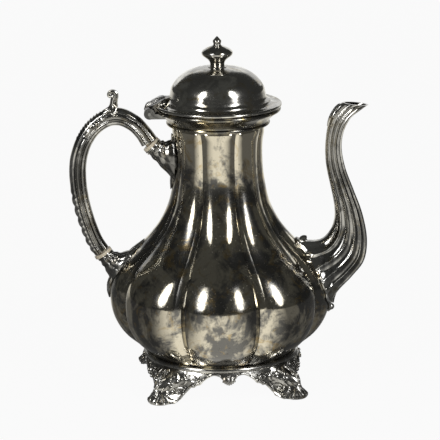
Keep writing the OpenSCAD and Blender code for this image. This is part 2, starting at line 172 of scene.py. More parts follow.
# ---- Materials ----------------------------------------------------------------
class Nodes:
    """A short way to write a node tree."""

    def __init__(self, name):
        self.material = bpy.data.materials.new(name)
        self.material.use_nodes = True
        self.tree = self.material.node_tree
        self.shader = self.tree.nodes["Principled BSDF"]

    def add(self, kind, inputs=(), **settings):
        node = self.tree.nodes.new(kind)
        for key, value in settings.items():
            setattr(node, key, value)
        for key, value in dict(inputs).items():
            self.feed(node.inputs[key], value)
        return node

    def feed(self, socket, value):
        if isinstance(value, bpy.types.NodeSocket):
            self.tree.links.new(value, socket)
        else:
            socket.default_value = value

    def noise(self, scale, detail=4, rough=0.55, distortion=0.0, stretch=None):
        coords = self.add("ShaderNodeTexCoord").outputs["Object"]
        if stretch:
            coords = self.add("ShaderNodeMapping", {"Vector": coords, "Scale": stretch}).outputs[0]
        return self.add("ShaderNodeTexNoise", {"Vector": coords, "Scale": scale, "Detail": detail,
                                               "Roughness": rough, "Distortion": distortion}).outputs[0]

    def ramp(self, value, stops):
        node = self.add("ShaderNodeValToRGB", {"Fac": value})
        band = node.color_ramp
        while len(band.elements) < len(stops):
            band.elements.new(0.5)
        for element, (place, colour) in zip(band.elements, stops):
            element.position = place
            element.color = colour if len(colour) == 4 else (*colour, 1)
        return node.outputs[0]

    def fade(self, value, low, high):
        return self.add("ShaderNodeMapRange", {"Value": value, "From Min": low, "From Max": high}).outputs[0]

    def place(self):
        """The X, Y and Z of the place on the object, in metres."""
        coords = self.add("ShaderNodeTexCoord").outputs["Object"]
        return self.add("ShaderNodeSeparateXYZ", {0: coords}).outputs

    def mix(self, factor, a, b):
        node = self.add("ShaderNodeMix", data_type="RGBA")
        self.feed(node.inputs["Factor"], factor)
        self.feed(node.inputs[6], a)
        self.feed(node.inputs[7], b)
        return node.outputs[2]

    def math(self, operation, a, b=0.0):
        return self.add("ShaderNodeMath", {0: a, 1: b}, operation=operation).outputs[0]

    def bump(self, height, strength, distance, normal=None):
        inputs = {"Height": height, "Strength": strength, "Distance": distance}
        if normal is not None:
            inputs["Normal"] = normal
        return self.add("ShaderNodeBump", inputs).outputs[0]


def silver(name, clean, tarnished, stain, cover, shine, ripple, recess=0.0, painted_light_above=None):
    """Silver plate with clouds of tarnish, stains, pits and fine rubbing marks.

    cover is how much of it is dark, shine the least roughness, ripple the height of
    the slow unevenness of the sheet, recess how dark the hollows of a casting are,
    and the last argument the height in metres above which the tarnish is thinned: a
    painted lighter top that stands in for the pale reflection on the neck.
    """
    n = Nodes(name)
    clouds = n.noise(42, detail=6, rough=0.65, distortion=0.8, stretch=(1, 1, 0.55))
    blots = n.noise(150, detail=5, rough=0.6, distortion=0.4)
    specks = n.noise(620, detail=2, rough=0.5)
    middle = 0.675 + (0.5 - cover) * 0.3
    cloudy = n.math("ADD", clouds, n.math("MULTIPLY", blots, 0.35))
    if painted_light_above:
        # painted reflection: from this height up the tarnish is thinned, so the upper sheet reads lighter,
        # standing in for the pale floor mirrored on the neck
        painted_lighter_top = n.fade(n.place()["Z"], painted_light_above, painted_light_above + 0.035)
        cloudy = n.math("SUBTRACT", cloudy, n.math("MULTIPLY", painted_lighter_top, 0.13))
    film = n.fade(cloudy, middle - 0.08, middle + 0.05)
    colour = n.mix(film, (*clean, 1), (*tarnished, 1))
    stained = n.fade(n.noise(70, detail=5, rough=0.7, distortion=1.4), 0.54, 0.66)
    colour = n.mix(n.math("MULTIPLY", stained, 0.6), colour, (*stain, 1))
    pits = n.fade(specks, 0.66, 0.72)
    colour = n.mix(n.math("MULTIPLY", pits, 0.55), colour, (0.05, 0.045, 0.04, 1))
    if recess:
        hollow = n.add("ShaderNodeNewGeometry").outputs["Pointiness"]
        grime = n.fade(hollow, 0.53, 0.44)
        colour = n.mix(n.math("MULTIPLY", grime, recess), colour, (0.03, 0.028, 0.025, 1))
    n.feed(n.shader.inputs["Base Color"], colour)
    n.shader.inputs["Metallic"].default_value = 1.0
    smear = n.noise(150, detail=5, rough=0.6)
    rough = n.math("ADD", n.math("MULTIPLY", film, 0.10), n.math("MULTIPLY", smear, 0.12))
    rough = n.math("ADD", rough, n.math("MULTIPLY", pits, 0.2))
    n.feed(n.shader.inputs["Roughness"], n.math("ADD", rough, shine - 0.06))
    waves = n.bump(n.noise(38, detail=2, rough=0.4), ripple, 0.0012)
    scratches = n.bump(n.noise(900, detail=3, rough=0.6, stretch=(1, 1, 0.12)), 0.06, 0.0002, waves)
    n.feed(n.shader.inputs["Normal"], n.bump(specks, 0.05, 0.0002, scratches))
    return n.material


def ivory_material():
    """Aged ivory with fine grain lines and darker stains."""
    n = Nodes("ivory")
    grain = n.noise(90, detail=5, rough=0.6, stretch=(1, 6, 1))
    colour = n.ramp(grain, [(0.3, (0.50, 0.42, 0.30)), (0.5, (0.72, 0.65, 0.52)),
                            (0.72, (0.80, 0.74, 0.62))])
    cracks = n.fade(n.noise(260, detail=3, rough=0.7), 0.6, 0.68)
    colour = n.mix(n.math("MULTIPLY", cracks, 0.5), colour, (0.25, 0.18, 0.11, 1))
    n.feed(n.shader.inputs["Base Color"], colour)
    n.feed(n.shader.inputs["Roughness"], n.math("ADD", n.math("MULTIPLY", grain, 0.2), 0.28))
    n.feed(n.shader.inputs["Normal"], n.bump(grain, 0.15, 0.0003))
    n.shader.inputs["Subsurface Weight"].default_value = 0.12
    n.shader.inputs["Subsurface Radius"].default_value = (0.002, 0.0015, 0.001)
    return n.material


# the body's tarnish thins from 0.15 m up: a painted lighter neck, standing in for its reflection of the pale
# floor
BODY_SILVER = silver("body_silver", (0.78, 0.72, 0.58), (0.19, 0.186, 0.175), (0.56, 0.40, 0.16),
                     cover=0.57, shine=0.08, ripple=0.5, painted_light_above=0.15)
# painted reflection: the lid's tarnished colour is much lighter than the body's, so the dome reads pale as
# if mirroring the floor
LID_SILVER = silver("lid_silver", (0.82, 0.80, 0.73), (0.42, 0.41, 0.385), (0.45, 0.37, 0.22),
                    cover=0.5, shine=0.085, ripple=0.3)
RIM_SILVER = silver("rim_silver", (0.55, 0.50, 0.38), (0.17, 0.165, 0.15), (0.48, 0.37, 0.13),
                    cover=0.66, shine=0.1, ripple=0.4)
SPOUT_SILVER = silver("spout_silver", (0.84, 0.83, 0.79), (0.27, 0.27, 0.26), (0.38, 0.32, 0.2),
                      cover=0.45, shine=0.08, ripple=0.2, recess=0.8)
HANDLE_SILVER = silver("handle_silver", (0.80, 0.79, 0.75), (0.27, 0.27, 0.26), (0.38, 0.32, 0.2),
                       cover=0.45, shine=0.09, ripple=0.2, recess=0.8)
CAST_SILVER = silver("cast_silver", (0.74, 0.73, 0.69), (0.30, 0.295, 0.28), (0.36, 0.30, 0.2),
                     cover=0.45, shine=0.15, ripple=0.3, recess=0.92)
# painted shade: a far darker silver for the hinge, so it reads black
HINGE_SHADED_SILVER = silver("hinge_shaded_silver", (0.28, 0.28, 0.27), (0.10, 0.10, 0.095), (0.2, 0.17, 0.12),
                      cover=0.6, shine=0.2, ripple=0.3, recess=0.9)
PIN_SILVER = silver("pin_silver", (0.34, 0.34, 0.33), (0.16, 0.16, 0.15), (0.25, 0.2, 0.15),
                    cover=0.5, shine=0.2, ripple=0.2)
IVORY = ivory_material()
MATERIALS = {"body_silver": BODY_SILVER, "lid_silver": LID_SILVER, "spout_silver": SPOUT_SILVER,
             "handle_silver": HANDLE_SILVER, "cast_silver": CAST_SILVER, "pin_silver": PIN_SILVER,
             "ivory": IVORY}

# ---- Body ---------------------------------------------------------------------
BODY_LOW, BODY_TOP = 26.5, 203.0
BODY_PROFILE = [(26.5, 57), (30, 61.5), (40, 73.9), (52, 81.6), (66, 84.8), (80, 83.8), (95, 75),
                (110, 59.5), (125, 47.1), (140, 39.4), (155, 35.6), (172, 33.6), (190, 33.8), (203, 36.6)]
LOBE_DEPTH = [(26.5, 0.02), (34, 0.08), (50, 0.09), (100, 0.09), (150, 0.078), (185, 0.06), (203, 0.055)]
SHOULDER = 0.86
PANEL_TOP, PANEL_ROUND = 202.4, 9
PITCH = TAU / LOBES


def lobe_drop(t):
    """How far a lobe has fallen, 0 at its crown and 1 at the crease, t across the half lobe."""
    lobe = 0.62 * (np.minimum(t, SHOULDER) / SHOULDER) ** 2.1
    u = np.clip((t - SHOULDER) / (1 - SHOULDER), 0, 1)
    return lobe + 0.38 * (0.55 * u + 0.45 * (1 - (1 - u) ** 2))


def body_radius(z, angle):
    """Outside radius of the body at a height and at an angle in radians."""
    across = np.abs((angle + PITCH / 2) % PITCH - PITCH / 2) / (PITCH / 2)
    # each lobe ends in a rounded panel under the rim
    up = np.clip(1 + (z - PANEL_TOP) / PANEL_ROUND, 0, 1)
    t = np.minimum((across ** 7 + up ** 7) ** (1 / 7), 1)
    return smooth(BODY_PROFILE, z) * (1 - smooth(LOBE_DEPTH, z) * lobe_drop(t))


def body_lean(z):
    return (smooth(BODY_PROFILE, z + 1) - smooth(BODY_PROFILE, z - 1)) / 2


def on_body(y, z, side=1, gap=0.0):
    """The point of the body's outside at (y, z), on the side given by its sign, lifted by gap."""
    y, z = np.asarray(y, float), np.clip(z, BODY_LOW, BODY_TOP)
    r = smooth(BODY_PROFILE, z)
    for _ in range(3):
        x = np.sqrt(np.maximum(r * r - y * y, 1))
        turn = np.arctan2(y, side * x)
        r = body_radius(z, turn) + gap * np.sqrt(1 + body_lean(z) ** 2)
    return np.stack([side * np.sqrt(np.maximum(r * r - y * y, 1)), y, z], -1)


def make_body():
    # columns gather near the creases
    half = np.concatenate([np.linspace(0, SHOULDER, 18), np.linspace(SHOULDER, 1, 9)[1:]])
    lobe = np.concatenate([-half[::-1][:-1], half])[:-1] * PITCH / 2
    angles = (np.arange(LOBES)[:, None] * PITCH + lobe[None, :]).ravel()
    heights = np.concatenate([np.linspace(BODY_LOW, 190, 150)[:-1], np.linspace(190, BODY_TOP, 30)])
    rings = []
    for z, inset in [(z, 0) for z in heights] + [(z, WALL) for z in heights[::-4]]:
        r = body_radius(z, angles) - inset * math.sqrt(1 + body_lean(z) ** 2)
        rings.append(np.stack([r * np.cos(angles), r * np.sin(angles), np.full(len(angles), z)], 1))
    body = add_mesh("body_lobed", *skin(rings, wrap=True), smooth_angle=24)
    finish_piece(body, BODY_SILVER, "body_silver", "pot", "body_upper", "body_lower")


make_body()


# ---- Rim, lid and finial --------------------------------------------------------
KNUCKLE_ROOM, KNUCKLE_HALF = 4.7, 6.4
LID_LOW = 216.6


def make_collar():
    flare = curve([(38.9, 205.9), (39.6, 207.2), (41.1, 209), (43.2, 210.9), (45, 212.3)], 5)
    outside = np.concatenate([[(36.8, 203.05), (38.2, 203.15)], arc(38.2, 204.3, 1.2, 1.15, -60, 70, 9),
                              flare, arc(46.2, 214.7, 1.55, 1.55, -75, 80, 12), [(45.9, 216.3)]])
    inside = np.concatenate([[(43.6, 216.3)], arc(44.2, 204.8, 8.3, 7.3, 95, 165, 8), [(34.4, 203.05)]])
    collar = lathe("rim_moulding", np.concatenate([outside, inside]), smooth_angle=35)
    # scooped out round the lid's knuckle
    for vertex in collar.data.vertices:
        x, y, z = vertex.co / MM - HINGE_AXIS
        if abs(y) < KNUCKLE_HALF and math.hypot(x, z) < KNUCKLE_ROOM:
            out = KNUCKLE_ROOM / math.hypot(x, z)
            vertex.co = (HINGE_AXIS + Vector((x * out, y, z * out))) * MM
    finish_piece(collar, RIM_SILVER, "cast_silver", "pot", "neck_collar")


DOME = [(39.2, 221.45), (37.8, 222.4), (36.7, 224.2), (36, 227.4), (35, 231.2), (32.2, 235.8),
        (27.4, 240.4), (21, 244), (13, 246), (6, 246.5), (2.2, 246.5)]


def make_lid():
    flange = np.concatenate([[(46.4, LID_LOW)], arc(47, LID_LOW + 1.35, 1.4, 1.3, -60, 90, 10),
                             [(46.2, LID_LOW + 2.4), (45.6, LID_LOW + 2.15), (42.4, LID_LOW + 2.35)],
                             arc(42.4, 221.6, 3.2, 2.6, 262, 190, 8),
                             [(39.2, 221.4), (37.9, 221.4), (37.9, LID_LOW)]])
    finish_piece(lathe("lid_flange_ring", flange), LID_SILVER, "lid_silver", "lid", "lid_flange")
    outside = curve(DOME, 6)
    dome = np.concatenate([outside, beside(outside, 1.3)[::-1]])
    finish_piece(lathe("lid_dome_shell", dome), LID_SILVER, "lid_silver", "lid", "lid_dome")


FINIAL = [(5.3, 248.05), (5.5, 249.4), (5.9, 250.7), (7.1, 252.3), (9.1, 253.9), (11.1, 255.5),
          (11.8, 257.1), (11.3, 258.7), (9.5, 260.3), (6.1, 261.9), (3.4, 263), (2.8, 264.1),
          (3.2, 265.5), (3.1, 266.8), (1.6, 268.6), (0.5, 269.7), (0.02, 270)]


def make_finial():
    outline = np.concatenate([[(1.9, 240.2), (1.9, 248.05)], curve(FINIAL, 6), [(0.02, 240.2)]])
    finish_piece(lathe("finial_knob", outline, 96), LID_SILVER, "lid_silver", "lid", "finial")
    base = [(1.95, 246.55), (7, 246.55), (6.95, 246.85), (6.1, 247.1), (5.6, 247.5), (5.4, 248), (1.95, 248)]
    finish_piece(lathe("finial_plinth", base, 96), LID_SILVER, "lid_silver", "lid", "finial_base")


make_collar()
make_lid()
make_finial()

# ---- Castings: ridged sections, tubes and beads -----------------------------------
class Casting:
    """Gathers tubes, beads and skins in one mesh."""

    def __init__(self):
        self.points, self.faces, self.count = [], [], 0

    def add(self, points, faces):
        points = np.asarray(points, float).reshape(-1, 3)
        self.points.append(points)
        self.faces += [tuple(i + self.count for i in f) for f in faces]
        self.count += len(points)

    def skin(self, rings, wrap=False):
        self.add(*skin(rings, wrap))

    def tube(self, path, radii, count=10, flat=1.0, up=(0, 0, 1)):
        """A round bar along a path, with a radius at each point, squashed by flat along up."""
        path = np.asarray(path, float)
        radii = np.broadcast_to(np.asarray(radii, float), len(path))
        step = np.gradient(path, axis=0)
        step /= np.linalg.norm(step, axis=1)[:, None]
        ups = np.broadcast_to(np.asarray(up, float), path.shape)
        side = np.cross(step, ups)
        short = np.linalg.norm(side, axis=1) < 0.05
        side[short] = np.cross(step[short], (0.3, 1, 0.2))
        side /= np.linalg.norm(side, axis=1)[:, None]
        top = np.cross(side, step)
        a = np.linspace(0, TAU, count, endpoint=False)
        rings = (path[:, None] + radii[:, None, None] * (side[:, None] * np.cos(a)[None, :, None]
                                                         + flat * top[:, None] * np.sin(a)[None, :, None]))
        self.skin(rings)

    def bead(self, centre, radius, squash=1.0, count=10):
        """A round drop of metal."""
        rows = []
        for p in np.linspace(-75, 75, 7):
            a = np.linspace(0, TAU, count, endpoint=False)
            p = math.radians(p)
            row = np.stack([radius * math.cos(p) * np.cos(a), radius * math.cos(p) * np.sin(a),
                            np.full(count, squash * radius * math.sin(p))], 1)
            rows.append(row + np.asarray(centre, float))
        self.skin(rows)

    def turned(self, degrees):
        """A copy turned about the pot's axis."""
        copy = Casting()
        c, s = math.cos(math.radians(degrees)), math.sin(math.radians(degrees))
        turn = np.array([[c, s, 0], [-s, c, 0], [0, 0, 1]])
        copy.points = [p @ turn for p in self.points]
        copy.faces, copy.count = self.faces, self.count
        return copy

    def mesh(self, name, smooth_angle=50):
        return add_mesh(name, np.vstack(self.points), self.faces, smooth_angle)


def ring_angles(ridges, coarse=60):
    """Angles round a section, closer together at each ridge."""
    near = (-6, -4, -2.8, -1.8, -0.9, 0, 0.9, 1.8, 2.8, 4, 6)
    fine = [s * (r + d) for r in ridges for d in near for s in (-1, 1)]
    even = np.linspace(-180, 180, coarse, endpoint=False)
    return np.radians(np.unique(np.round(np.concatenate([even, fine]), 1)))


def relief(theta, ridges, rise, sink, width=3.0):
    """Height of a reeded section: narrow ridges at some angles and hollow flutes between."""
    t = np.abs(np.degrees(theta))
    height = np.zeros_like(t)
    edges = [ridges[0] - 30] + list(ridges) + [ridges[-1] + 30]
    for low, high in zip(edges[:-1], edges[1:]):
        inside = (t > low) & (t < high)
        depth = sink * min(1.2, (high - low) / 24)
        height[inside] -= depth * np.sin(math.pi * (t[inside] - low) / (high - low)) ** 2
    for r in ridges:
        height += rise * np.exp(-((t - r) / width) ** 2)
    return height


def section(a, b, half, theta, lift):
    """A raised oval ring between points a and b of the plane y = 0, half wide each way."""
    a, b = np.asarray(a, float), np.asarray(b, float)
    m, h = (a + b) / 2, (b - a) / 2
    c = np.cos(theta) * (1 + lift / np.linalg.norm(h))
    return np.stack([m[0] + h[0] * c, np.sin(theta) * (half + lift), m[1] + h[1] * c], 1)


def station(stations, t):
    """Inner edge, outer edge and half width at t spans along a list of stations."""
    a, b = along([s[0] for s in stations], t)[0], along([s[1] for s in stations], t)[0]
    return a, b, along([(s[2],) for s in stations], t)[0][0]


# ---- Spout ------------------------------------------------------------------------
SPOUT = [((59, 112), (82, 54), 22), ((68, 110.2), (90.2, 68.8), 17.5), ((78, 111.2), (101.8, 81.4), 14.5),
         ((85, 118.5), (111, 94), 12.8), ((88, 128), (113.2, 111), 11), ((87.6, 140), (109.6, 131), 9.4),
         ((84.8, 154.4), (103, 149.5), 8), ((82, 168), (96.6, 167), 6.8), ((81, 182), (93.8, 182.5), 6.2),
         ((82.2, 195.5), (95.4, 195.5), 6.2), ((84.6, 205.5), (100.8, 206), 6.6),
         ((90, 215), (107.5, 211.5), 6.8), ((94.6, 218), (114, 215.8), 6.2)]
SPOUT_RIDGES = (33, 56, 78, 103, 128)
# half width of the spout's foot by height, shield shaped
SPOUT_FOOT = [(54, 2), (58, 6.6), (64, 13.5), (70, 18.4), (78.4, 22.5), (82.7, 21), (87, 19.4), (92.6, 16.7),
              (97.5, 12.5), (104, 8), (110, 4.6), (112, 3)]


def make_spout():
    theta = ring_angles(SPOUT_RIDGES, 72)
    last = len(SPOUT) - 1

    def ring(t, inset=0.0):
        a, b, half = station(SPOUT, t)
        size = min(1.0, half / 10)
        lift = relief(theta, SPOUT_RIDGES, 0.95 * size, 0.85 * size, 2.6) * ease(last - t, 0.0, 0.8)
        if inset:
            lift = np.full_like(theta, -inset)
        points = section(a, b, half, theta, lift)
        if t < 1.2:
            # the foot takes the shape of the shield on the body
            foot = np.sign(points[:, 1]) * np.maximum(smooth(SPOUT_FOOT, points[:, 2]) - inset, 0.5)
            share = (1 - ease(t, 0, 1.2)) * (np.abs(points[:, 1]) > 0)
            foot = foot * share * np.minimum(1, np.abs(np.sin(theta)) * 2.5)
            points[:, 1] = points[:, 1] * (1 - share) + foot
        return points

    def foot_ring(inset=0.0, gap=0.1):
        points = ring(0, inset)
        return on_body(points[:, 1], points[:, 2], 1, gap)

    outer = [foot_ring()] + [ring(t) for t in np.linspace(0.12, last, 110)]
    # a rolled lip, then the inside of the tube
    inner = [ring(t, WALL) for t in np.linspace(last, 0.3, 30)]
    work = Casting()
    work.skin(outer + inner + [foot_ring(WALL)], wrap=True)
    # ridge bead round the joint with the body, waved like a leaf edge
    edge = foot_ring(0, 0.9)
    rim = edge[edge[:, 1] < 0]
    for side in (-1, 1):
        line = rim * (1, -side, 1)
        line = line[np.argsort(-line[:, 2])]
        length = np.concatenate([[0], np.cumsum(np.linalg.norm(np.diff(line, axis=0), axis=1))])
        s = np.linspace(0, length[-1], 90)
        path = np.stack([np.interp(s, length, line[:, k]) for k in range(3)], 1)
        wave = np.sin(s / length[-1] * math.pi * 9)
        path = on_body(path[:, 1] + side * (0.9 * wave), path[:, 2], 1, 0.9)
        work.tube(path, 1.05 + 0.3 * wave ** 2, 10)
        for place in (0.36, 0.53, 0.60):
            i = int(place * 89)
            work.bead(path[i] + (0.5, side * 0.4, 0.3), 1.35)
    # scroll at the top of the joint and drop at its foot
    top = (63.2, 0, 108.8)
    a = np.linspace(0, 1.55 * TAU, 40)
    spiral = np.stack([top[0] + 1.4 + (3.0 - 0.22 * a) * np.cos(a + 0.9), np.zeros(40),
                       top[2] + 0.8 + (3.0 - 0.22 * a) * np.sin(a + 0.9)], 1)
    for y in np.linspace(-2.4, 2.4, 5):
        work.tube(spiral + (0, y, 0), 1.3 - 0.015 * np.arange(40), 8, up=(0, 1, 0))
    low = on_body(0, 57, 1, 0)
    work.bead(low + (1.9, 0, 0.2), 2.9, 0.95, 14)
    work.tube([low + (2.2, 0, 4), low + (3.6, 0, 8), low + (6.4, 0, 12.5)], [2.4, 1.8, 0.6], 10)
    for side in (-1, 1):
        work.tube(on_body(np.array([0.6, 3.2, 5.4, 6.2]) * side, np.array([61, 64, 68, 72.5]), 1, 0.8),
                  [1.1, 1.5, 1.3, 0.5], 8)
    # small leaf on the inner side near the tip
    for y, tilt in ((0, 0), (-2.6, 0.5), (2.6, 0.5)):
        t = np.linspace(9.4, 11.4, 12)
        spine = along([s[0] for s in SPOUT], t)
        across = np.full(12, y) * (1 - (t - 9.4) / 5)
        work.tube(np.stack([spine[:, 0] - 0.2 + tilt, across, spine[:, 1]], 1),
                  np.sin(np.linspace(0.25, 2.9, 12)), 8)
    finish_piece(work.mesh("spout_reeded", 40), SPOUT_SILVER, "spout_silver", "pot",
                 "spout_lower", "spout_upper")


# ---- Handle -----------------------------------------------------------------------
HANDLE = [(-52, 188.6, 6.8), (-57, 196.5, 6.4), (-64, 204, 6.5), (-74, 209, 6.8), (-85, 207.7, 6.6),
          (-95, 200.5, 6.4), (-102.3, 189.7, 6.3), (-106.4, 177.3, 6.5), (-107.5, 164, 6.5),
          (-106.3, 150, 6.3), (-103.6, 136.2, 6.2), (-99.7, 123, 6.1), (-95.2, 111.5, 6.1),
          (-90.4, 103.7, 6.2)]
HANDLE_RIDGES = (80, 107)
HANDLE_HALF = 6.6


def handle_frame(t):
    """Middle, half thickness and outward side of the handle at t spans."""
    p = along(HANDLE, t)[0]
    a, b = along(HANDLE, max(t - 0.1, 0))[0], along(HANDLE, min(t + 0.1, len(HANDLE) - 1))[0]
    v = (b - a)[:2] / np.linalg.norm((b - a)[:2])
    return p[:2], p[2], np.array([v[1], -v[0]])


def handle_point(t, degrees, lift=0.0):
    """A point on the handle's surface, the angle from its outer edge towards -Y."""
    m, half, out = handle_frame(t)
    c, s = math.cos(math.radians(degrees)), math.sin(math.radians(degrees))
    p = m + out * (half + lift) * c
    return np.array([p[0], -(HANDLE_HALF + lift) * s, p[1]])


def make_handle():
    theta = ring_angles(HANDLE_RIDGES, 56)
    last = len(HANDLE) - 1
    work = Casting()
    rings = []
    for t in np.linspace(0.17, last - 0.13, 190):
        m, half, out = handle_frame(t)
        lift = relief(theta, HANDLE_RIDGES, 0.75, 0.6, 3)
        # leaf relief along the outer edge of the lower half
        leaf = ease(t, 8.4, 9.2) * (1 - ease(t, 12.3, 12.8))
        bumps = np.abs(math.sin(t * 5.2)) ** 0.7
        lift = lift + leaf * np.exp(-(theta / 0.75) ** 2) * (1.3 * bumps - 0.5)
        veins = leaf * 0.35 * np.sin(t * 20 + np.abs(theta) * 6)
        lift = lift + veins * np.exp(-((np.abs(theta) - 0.8) / 0.4) ** 2)
        rings.append(section(m - out * half, m + out * half, HANDLE_HALF, theta, lift))
    work.skin(rings)
    for side in (-1, 1):
        # ribbon knots and the leaf between them on the outer shoulder
        for t in (4.45, 4.62, 4.8, 5.62):
            path = [handle_point(t + 0.10 * k, side * a, 0.35) for k, a in
                    zip(np.linspace(-1, 1, 9), np.linspace(56, 104, 9))]
            work.tube(path, 0.75 * np.sin(np.linspace(0.5, 2.64, 9)), 8)
        for low, high, angle, size in ((4.9, 5.55, 74, 1.35), (3.9, 4.35, 70, 1.1), (5.7, 6.6, 84, 0.8)):
            path = [handle_point(t, side * angle, 0.1) for t in np.linspace(low, high, 12)]
            work.tube(path, size * np.sin(np.linspace(0.3, 2.84, 12)), 8)
        for i, t in enumerate(np.linspace(3.7, 5.9, 12)):
            path = [handle_point(t + 0.16 * k, side * a, 0.15) for k, a in
                    zip(np.linspace(0, 1, 8), np.linspace(10, 52, 8))]
            work.tube(path, (0.45 + 0.15 * (i % 2)) * np.sin(np.linspace(0.4, 2.7, 8)), 8)
    finish_piece(work.mesh("handle_reeded", 40), HANDLE_SILVER, "handle_silver", "pot", "handle_grip")


def make_thumb_scroll():
    line = [(-79.7, 214.3, 4.4), (-79, 218.2, 3.1), (-78.3, 222.4, 2.9), (-77.2, 225.3, 2.4),
            (-77.4, 227.6, 1.8), (-79.6, 228.7, 1.5), (-81.8, 227.9, 1.4), (-82.5, 226.2, 1.3),
            (-81.6, 224.9, 1.1), (-80.4, 225.3, 0.9)]
    path = curve(line, 6)
    work = Casting()
    theta = np.radians(np.linspace(0, 360, 32, endpoint=False))
    side = np.gradient(path[:, :2], axis=0)
    side = np.stack([-side[:, 1], side[:, 0]], 1) / np.linalg.norm(side, axis=1)[:, None]
    widths = np.interp(np.arange(len(path)) / 6, [0, 1, 2, 4, 6, 9], [5.2, 4.2, 3.7, 4.0, 4.3, 4.3])
    rings = []
    for p, n, w in zip(path, side, widths):
        lift = relief(theta - math.pi, (62, 90, 118), 0.35, 0.4, 7)
        rings.append(section(p[:2] - n * p[2], p[:2] + n * p[2], w, theta, lift))
    work.skin(rings)
    for side in (-1, 1):
        work.bead((-79.6, side * 4, 225.8), 1.2)
        # leaf curling back on to the handle
        work.tube([(-80.3, side * 2.2, 216), (-82.6, side * 2.8, 214.4), (-85.4, side * 3.2, 212.9),
                   (-88.4, side * 3, 210.9)], [1.4, 1.5, 1.2, 0.5], 10)
        work.tube([(-78.6, side * 3.7, 219.5), (-76.4, side * 4.6, 217.3), (-76.6, side * 5.7, 214.6),
                   (-79.2, side * 6.3, 212.6), (-81.4, side * 6.4, 213.4)], [0.6, 1.0, 1.2, 1.0, 0.5], 10)
    work.tube([(-80.6, 0, 216.6), (-83.4, 0, 214.9), (-87, 0, 212.9), (-90.8, 0, 210.4)],
              [1.6, 1.5, 1.2, 0.5], 10)
    finish_piece(work.mesh("thumb_scroll_leaf", 40), HANDLE_SILVER, "handle_silver", "pot", "thumb_scroll")


UPPER_SOCKET = [((-45.4, 190.9), (-55, 181.6), 6.8), ((-42.6, 190), (-50, 176.6), 6.9),
                ((-38.5, 189.8), (-43.5, 169.5), 7.6), ((-33, 193), (-33, 157), 9)]
LOWER_SOCKET = [((-83.9, 104.9), (-94, 98.6), 6.4), ((-79.5, 102.8), (-90.6, 93.4), 6.8),
                ((-73.5, 102.8), (-87.6, 88.2), 8), ((-62, 107), (-84, 78), 10.5)]


def make_socket(name, stations, node, top_leaf, tail_leaf):
    """A leafy cup: ribs run from a collar at the insulator and spread over the body.

    Each leaf is the height of its root and of its tip, its reach to each side and its size.
    """
    work = Casting()
    theta = np.radians(np.linspace(-180, 180, 96, endpoint=False))
    rings = []
    for t in np.linspace(0.12, 3, 44):
        a, b, half = station(stations, t)
        ribs = 0.75 * np.abs(np.sin(theta * 4.5 + 0.5 * math.sin(t * 2.5))) ** 0.6 - 0.6
        lobes = 0.35 * np.sin(t * 7 + np.abs(theta) * 2)
        lift = (ribs + lobes) * ease(t, 0.12, 0.7)
        rings.append(section(a, b, half, theta, lift))
    end = rings[-1]
    rings[-1] = on_body(end[:, 1] * (1 + 0.12 * np.sin(theta * 7)), end[:, 2], -1, 0.3)
    work.skin(rings)
    for t, r in ((0.14, 0.8), (0.42, 0.6)):
        a, b, half = station(stations, t)
        ring = section(a, b, half, theta[::2], np.zeros(48))
        work.tube(np.vstack([ring, ring[:2]]), r, 8)
    for root, tip, reach, size in (top_leaf, tail_leaf):
        for y in (-1, 0, 1):
            zs = np.linspace(root, tip, 10)
            spread = y * np.linspace(reach, 0.6, 10)
            work.tube(on_body(spread, zs, -1, 0.7), size * np.sin(np.linspace(0.9, 2.95, 10)), 8)
    finish_piece(work.mesh(name, 40), CAST_SILVER, "cast_silver", "pot", node)


make_spout()
make_handle()
make_thumb_scroll()
make_socket("upper_socket_leaf", UPPER_SOCKET, "upper_socket",
            (186, 195.5, 3.4, 1.6), (166, 152.5, 4, 1.9))
make_socket("lower_socket_leaf", LOWER_SOCKET, "lower_socket",
            (100, 113, 5, 1.6), (84, 67, 4.2, 2.2))

# ---- Feet and aprons ----------------------------------------------------------------
FOOT_TURN = 5.4
RING_LOW = 23.2
# lower edge of the apron by angle from the middle of the foot
EDGE = [(0, 0.0), (9.6, 1.0), (12, 5), (15, 9), (18.5, 12.6), (20, 12.2), (22.2, 14.6), (24, 14.2),
        (26, 16.8), (30, 20), (34, 21.6), (39, 20.6), (41, 18.6), (43, 18.3), (45, 16.8)]
NOSE = [(0, 81.4), (2.5, 82.4), (5, 79.8), (9, 76.8), (13, 76), (17, 72.4), (22.5, 62.5), (24, 60)]


def skirt(angle, z, lift=0.0):
    """A point of the foot casting's outside; angle in degrees from the middle of the foot."""
    angle, z = np.asarray(angle, float), np.asarray(z, float)
    apron = 59.0 + 0.25 * (22.5 - z) + 0.9 * np.sin(np.clip((z - 12) / 11, 0, 1) * math.pi)
    nose = smooth(NOSE, z)
    across = np.abs(np.sin(np.radians(angle))) * 70
    wide = 10.5 + 4.5 * ease(6 - z, 0, 6)
    share = np.clip(1 - (across / (wide + 4)) ** 1.5, 0, 1)
    r = apron + (nose - apron) * share * (0.55 + 0.45 * share) + lift
    a = np.radians(angle)
    return np.stack([r * np.cos(a), r * np.sin(a), z], -1)


